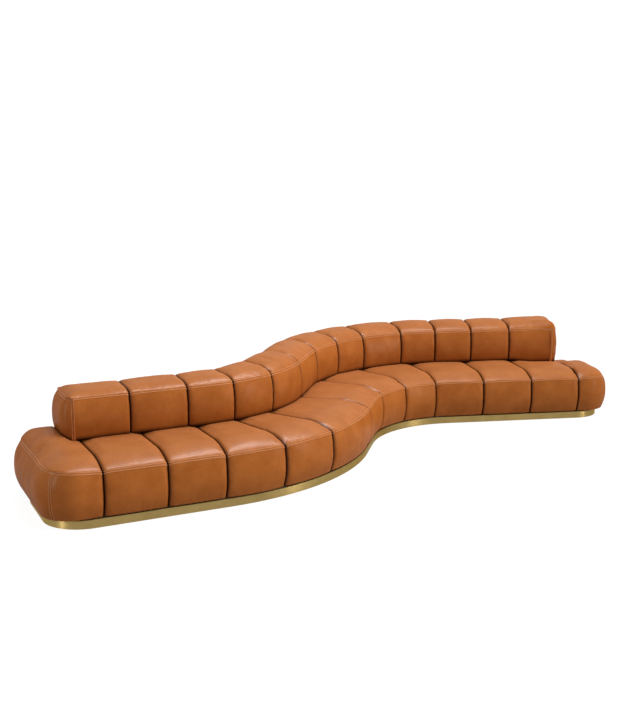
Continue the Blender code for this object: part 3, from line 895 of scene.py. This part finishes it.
def band_piece(name, node, line, heights, brass):
    """A length of the plinth band: bent sheet with a rounded upper edge and a flange inwards."""
    bottom, top = heights
    turns = np.linspace(0.0, math.pi / 2, BAND_ROUND_STEPS + 1)
    section = [(0.0, bottom)]
    section += [(BAND_ROUND * (1 - math.cos(t)), top - BAND_ROUND * (1 - math.sin(t))) for t in turns]
    section += [
        (BAND_FLANGE, top),
        (BAND_FLANGE, top - BAND_THICKNESS),
        (BAND_THICKNESS, top - BAND_THICKNESS),
        (BAND_THICKNESS, bottom),
    ]
    rings = []
    for depth, z in section:
        s, w = inside(line, depth).T
        rings.append(place(s, w, z))
    item = add_mesh(name, *loft(np.stack(rings, axis=1)), brass, "brass")
    item.data.set_sharp_from_angle(angle=BAND_SHARP)
    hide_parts(node)
    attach(item, "root")


def band_line(joint, end, way, lines):
    """Outline stations of an end length: along the front, round the end and back along the rear."""
    corner = BAND_CORNERS[0 if way > 0 else 1]
    centre = end + way * corner
    s = np.concatenate([[joint], inner_places(joint, centre)])
    turns = np.linspace(0.0, math.pi / 2, BAND_CORNER_STEPS + 1)[1:]
    return np.concatenate([
        straight_line(s, lines[0], 1),
        corner_line((centre, lines[0] + corner), corner, turned(way, turns, 1)),
        corner_line((centre, lines[1] - corner), corner, turned(way, turns, -1))[::-1],
        straight_line(s[::-1], lines[1], -1),
    ])


def plinth(brass):
    """The four lengths of the band round the foot."""
    (left_start, left_stop), lines = measure("left_brass_band")
    right_start, right_stop = measure("right_brass_band")[0]
    start, stop = measure("middle_front_brass_band")[0]
    low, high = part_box("left_brass_band")
    heights = (low.z, high.z)
    s = np.concatenate([[start], inner_places(start, stop)])
    pieces = {
        "left_brass_band": band_line(left_stop, left_start - BAND_REACH[0], 1, lines),
        "right_brass_band": band_line(right_start, right_stop + BAND_REACH[1], -1, lines),
        "middle_front_brass_band": straight_line(s, lines[0], 1),
        "middle_rear_brass_band": straight_line(s, lines[1], -1),
    }
    for node, line in pieces.items():
        band_piece(node.replace("_band", "_trim"), node, line, heights, brass)


class Shader:
    """The node tree of a new material or world, with short calls to add and join nodes."""

    def __init__(self, name, kind="materials", surface="Principled BSDF"):
        self.made = getattr(bpy.data, kind).new(name)
        self.made.use_nodes = True
        self.tree = self.made.node_tree
        self.surface = self.tree.nodes[surface]

    def feed(self, socket, value):
        """Gives a socket what it takes: a link, a plain colour or another plain value."""
        if isinstance(value, bpy.types.NodeSocket):
            self.tree.links.new(value, socket)
        elif isinstance(value, tuple):
            socket.default_value = (*value, 1.0)
        else:
            socket.default_value = value

    def add(self, kind, sockets=None, **settings):
        """A new node, with what its sockets take, by name or number."""
        made = self.tree.nodes.new(kind)
        for name, value in settings.items():
            setattr(made, name, value)
        for key, value in (sockets or {}).items():
            self.feed(made.inputs[key], value)
        return made

    def set(self, **values):
        """What the surface shader takes, with _ for a space in a socket's name."""
        for name, value in values.items():
            self.feed(self.surface.inputs[name.replace("_", " ")], value)

    def coordinates(self, scale=(1.0, 1.0, 1.0)):
        vector = self.add("ShaderNodeTexCoord").outputs["Object"]
        return self.add("ShaderNodeMapping", {"Vector": vector, "Scale": Vector(scale)}).outputs["Vector"]

    def noise(self, vector, scale, detail=4.0, roughness=0.55):
        sockets = {"Vector": vector, "Scale": scale, "Detail": detail, "Roughness": roughness}
        return self.add("ShaderNodeTexNoise", sockets).outputs["Fac"]

    def cells(self, vector, scale):
        sockets = {"Vector": vector, "Scale": scale}
        return self.add("ShaderNodeTexVoronoi", sockets, feature="F1").outputs["Distance"]

    def spread(self, value, low, high, to_low=0.0, to_high=1.0):
        sockets = {"Value": value, "From Min": low, "From Max": high, "To Min": to_low, "To Max": to_high}
        return self.add("ShaderNodeMapRange", sockets).outputs["Result"]

    def mix(self, factor, first, second, blend="MIX"):
        """Mixes two colours, each given as a socket or as a plain colour."""
        sockets = {0: factor, 6: first, 7: second}
        return self.add("ShaderNodeMix", sockets, data_type="RGBA", blend_type=blend).outputs[2]

    def attribute(self, name):
        return self.add("ShaderNodeAttribute", attribute_name=name).outputs["Fac"]

    def bump(self, height, strength, distance, below=None):
        sockets = {"Height": height, "Strength": strength, "Distance": distance}
        if below is not None:
            sockets["Normal"] = below
        return self.add("ShaderNodeBump", sockets).outputs["Normal"]


def leather_material():
    """Cognac leather: mottled dye, a fine pebbled grain, soft folds; painted shade in seams, creases and
    feet, painted light on tops and lips.
    """
    shader = Shader("cognac_leather_grain")
    vector = shader.coordinates()
    normal = shader.add("ShaderNodeNewGeometry").outputs["Normal"]
    upward = shader.add("ShaderNodeSeparateXYZ", {0: normal}).outputs["Z"]
    cloud = shader.spread(shader.noise(vector, scale=7.0, detail=5.0), *NOISE_RANGE)
    # Paler tops: painted light, mixed in by how far a face looks up
    painted_top_light = shader.spread(upward, low=0.55, high=1.0, to_high=0.85)
    colour = shader.mix(painted_top_light, shader.mix(cloud, *LEATHER_SIDES), shader.mix(cloud, *LEATHER_TOPS_PAINTED_LIGHT))
    speck = shader.spread(shader.noise(vector, scale=110.0), low=0.35, high=0.65, to_high=0.42)
    colour = shader.mix(speck, colour, SPECK_COLOUR, "MULTIPLY")
    # Painted highlight on the lips' crests and tacked ends
    lip_highlight = shader.spread(shader.attribute("lip_highlight"), low=0.0, high=1.0, to_high=0.64)
    colour = shader.mix(lip_highlight, colour, LIP_HIGHLIGHT_COLOUR)
    # Painted shade: darker in the seams' grooves, towards the foot and along creases, less on faces that
    # look up
    drawn = shader.spread(shader.attribute("drawn"), low=0.38, high=0.90)
    facing = shader.spread(upward, low=0.30, high=0.90, to_low=1.0, to_high=0.65)
    seam = shader.add("ShaderNodeMath", {0: drawn, 1: facing}, operation="MULTIPLY").outputs[0]
    colour = shader.mix(seam, colour, PAINTED_SHADE_COLOUR)
    rough = shader.spread(shader.noise(vector, scale=40.0), *NOISE_RANGE, to_low=0.56, to_high=0.64)
    folds = shader.bump(shader.noise(vector, scale=65.0), strength=0.34, distance=0.004)
    grain = shader.bump(shader.cells(vector, scale=480.0), strength=0.30, distance=0.0006, below=folds)
    pores = shader.noise(vector, scale=900.0, detail=2.0)
    normal = shader.bump(pores, strength=0.20, distance=0.0003, below=grain)
    shader.set(Base_Color=colour, Roughness=rough, Normal=normal)
    shader.set(Specular_IOR_Level=0.0, Coat_Weight=0.16, Coat_Roughness=0.29)
    return shader.made


def thread_material():
    """Waxed thread, with its twist as fine ridges."""
    shader = Shader("tan_thread")
    vector = shader.coordinates()
    tone = shader.spread(shader.noise(vector, scale=220.0, detail=2.0), *NOISE_RANGE)
    twist = shader.bump(shader.noise(vector, scale=2600.0, detail=1.0), strength=0.5, distance=0.0003)
    shader.set(Base_Color=shader.mix(tone, *THREAD_COLOURS), Roughness=0.55, Normal=twist)
    return shader.made


def brass_material():
    """Satin brass, brushed along its length, with faint tarnish."""
    shader = Shader("brushed_brass_satin")
    brushed = shader.noise(shader.coordinates(scale=(3.0, 3.0, 900.0)), scale=1.0)
    tarnish = shader.spread(shader.noise(shader.coordinates(), scale=9.0), low=0.35, high=0.7)
    shader.set(
        Base_Color=shader.mix(tarnish, *BRASS_COLOURS),
        Roughness=shader.spread(brushed, *NOISE_RANGE, to_low=0.38, to_high=0.48),
        Normal=shader.bump(brushed, strength=0.12, distance=0.0004),
        Tangent=shader.add("ShaderNodeCombineXYZ", {"Z": 1.0}).outputs[0],
    )
    shader.set(Metallic=1.0, Anisotropic=0.85, Specular_Tint=BRASS_TINT)
    return shader.made


def plywood_material():
    """Birch plywood: pale faces with long grain, and the plies as bands in its edges."""
    shader = Shader("birch_plywood_grain")
    vector = shader.coordinates(scale=(2.0, 30.0, 30.0))
    grain = shader.noise(vector, scale=3.0, detail=6.0, roughness=0.65)
    sockets = {"Vector": shader.coordinates(), "Scale": 110.0, "Distortion": 0.6}
    plies = shader.add("ShaderNodeTexWave", sockets, bands_direction="Z").outputs["Fac"]
    colour = shader.mix(shader.spread(grain, *NOISE_RANGE), *PLYWOOD_COLOURS)
    colour = shader.mix(shader.spread(plies, low=0.5, high=1.0, to_high=0.25), colour, PLY_COLOUR)
    normal = shader.bump(grain, strength=0.2, distance=0.0006)
    shader.set(Base_Color=colour, Roughness=0.65, Normal=normal)
    return shader.made


def steel_material():
    """Zinc-plated steel with a faint spangle."""
    shader = Shader("zinc_steel_spangle")
    vector = shader.coordinates()
    spangle = shader.spread(shader.cells(vector, scale=60.0), low=0.1, high=0.7)
    rough = shader.spread(shader.noise(vector, scale=30.0), *NOISE_RANGE, to_low=0.32, to_high=0.48)
    shader.set(Base_Color=shader.mix(spangle, *STEEL_COLOURS), Roughness=rough, Metallic=1.0)
    return shader.made


def felt_material():
    """Black felt with matted fibres."""
    shader = Shader("black_felt_fibres")
    fibres = shader.noise(shader.coordinates(), scale=700.0, detail=5.0, roughness=0.7)
    colour = shader.mix(shader.spread(fibres, *NOISE_RANGE), *FELT_COLOURS)
    normal = shader.bump(fibres, strength=0.6, distance=0.001)
    shader.set(Base_Color=colour, Roughness=0.95, Normal=normal)
    return shader.made


def dress_solids():
    """Materials for the boards, plates and glides, which stay as the solids have them."""
    kinds = {"plate": steel_material(), "glide": felt_material()}
    plywood = plywood_material()
    for name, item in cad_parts.items():
        if item.hide_render:
            continue
        material = kinds.get(name.rsplit("_", 1)[-1], plywood)
        for slot in item.material_slots:
            slot.material = material


def seen_directly(shader):
    """A value that is 1 for rays that show the surroundings, and 0 for rays that light the object."""
    rays = shader.add("ShaderNodeLightPath").outputs
    seen = rays["Is Camera Ray"]
    for name in ("Is Glossy Ray", "Is Transmission Ray"):
        seen = shader.add("ShaderNodeMath", {0: seen, 1: rays[name]}, operation="MAXIMUM").outputs[0]
    return seen


def floor_material():
    """White floor that shows as white, and still takes the object's shadow."""
    shader = Shader("studio_floor")
    shader.set(Base_Color=FLOOR_COLOUR, Roughness=1.0, Specular_IOR_Level=0.0)
    share = shader.spread(seen_directly(shader), low=0.0, high=1.0, to_high=FLOOR_WHITE)
    glow = shader.add("ShaderNodeEmission", {"Strength": FLOOR_GLOW}).outputs["Emission"]
    both = shader.add("ShaderNodeMixShader", {0: share, 1: shader.surface.outputs["BSDF"], 2: glow})
    shader.feed(shader.tree.nodes["Material Output"].inputs["Surface"], both.outputs["Shader"])
    return shader.made


def lamp(name, at, towards, power, size):
    """A rectangular lamp that shines from one place towards another."""
    data = bpy.data.lights.new(name, "AREA")
    data.energy = power
    data.shape = "RECTANGLE"
    data.size, data.size_y = size
    item = add_object(name, data)
    item.location = at
    item.rotation_euler = (Vector(towards) - Vector(at)).to_track_quat("-Z", "Y").to_euler()
    return item


def lamps():
    """Soft light: some lamps only light the surfaces, and others only reflect in them."""
    lamp(*OVERHEAD)
    for fill in FILLS:
        lamp(*fill).visible_glossy = False
    key = add_object("right_key", bpy.data.lights.new("right_key", "SUN"))
    key.data.energy = KEY_STRENGTH
    key.data.angle = KEY_ANGLE
    key.rotation_euler = (math.pi / 2 - KEY_ELEVATION, 0.0, KEY_TURN)
    key.visible_glossy = False
    for streak in STREAKS:
        lamp(*streak).visible_diffuse = False
    for number, (s, length) in enumerate(STRIPS, 1):
        at = place(s, STRIP_BEHIND, STRIP_HEIGHT)
        ahead = place(s + length / 2, STRIP_BEHIND, STRIP_HEIGHT) - at
        size = (length, STRIP_WIDTH)
        strip = lamp(f"edge_strip_{number}", at, at - (0.0, 0.0, 1.0), STRIP_POWER * length, size)
        strip.rotation_euler = (0.0, 0.0, math.atan2(ahead[1], ahead[0]))
        strip.visible_diffuse = False


def studio():
    """Pale floor and white surroundings."""
    build = bmesh.new()
    bmesh.ops.create_grid(build, x_segments=FLOOR_CELLS, y_segments=FLOOR_CELLS, size=FLOOR_HALF)
    mesh = bpy.data.meshes.new("floor")
    build.to_mesh(mesh)
    build.free()
    mesh.materials.append(floor_material())
    floor = add_object("floor", mesh)

    sky = Shader("studio", "worlds", "Background")
    bpy.context.scene.world = sky.made
    strength = sky.spread(seen_directly(sky), low=0.0, high=1.0, to_low=WORLD_LIGHT)
    sky.set(Color=(1.0, 1.0, 1.0), Strength=strength)


def camera():
    data = bpy.data.cameras.new("camera")
    data.lens = CAMERA_LENS
    data.sensor_width = CAMERA_SENSOR
    item = add_object("camera", data)
    item.location = CAMERA_PLACE
    item.rotation_euler = (math.pi / 2 - CAMERA_TILT, 0.0, -CAMERA_TURN)
    bpy.context.scene.camera = item


bpy.context.scene.view_settings.view_transform = "Standard"
camera()
studio()
lamps()
leather_finish = leather_material()
thread_finish = thread_material()
seat = Row("seat_channel", SEAT_FRONT_EDGE, SEAT_REAR_EDGE, SEAT_ENDS, seat_settled, SEAT_FOOT_SHADE)
back = Row("back_channel", BACK_FRONT_EDGE, BACK_REAR_EDGE, BACK_ENDS, back_settled, BACK_FOOT_SHADE)
seat_covers = cover(seat, leather_finish)
back_covers = cover(back, leather_finish)
fill_out(seat_covers + back_covers)
upholster(seat, seat_covers, leather_finish, thread_finish)
upholster(back, back_covers, leather_finish, thread_finish)
plinth(brass_material())
dress_solids()
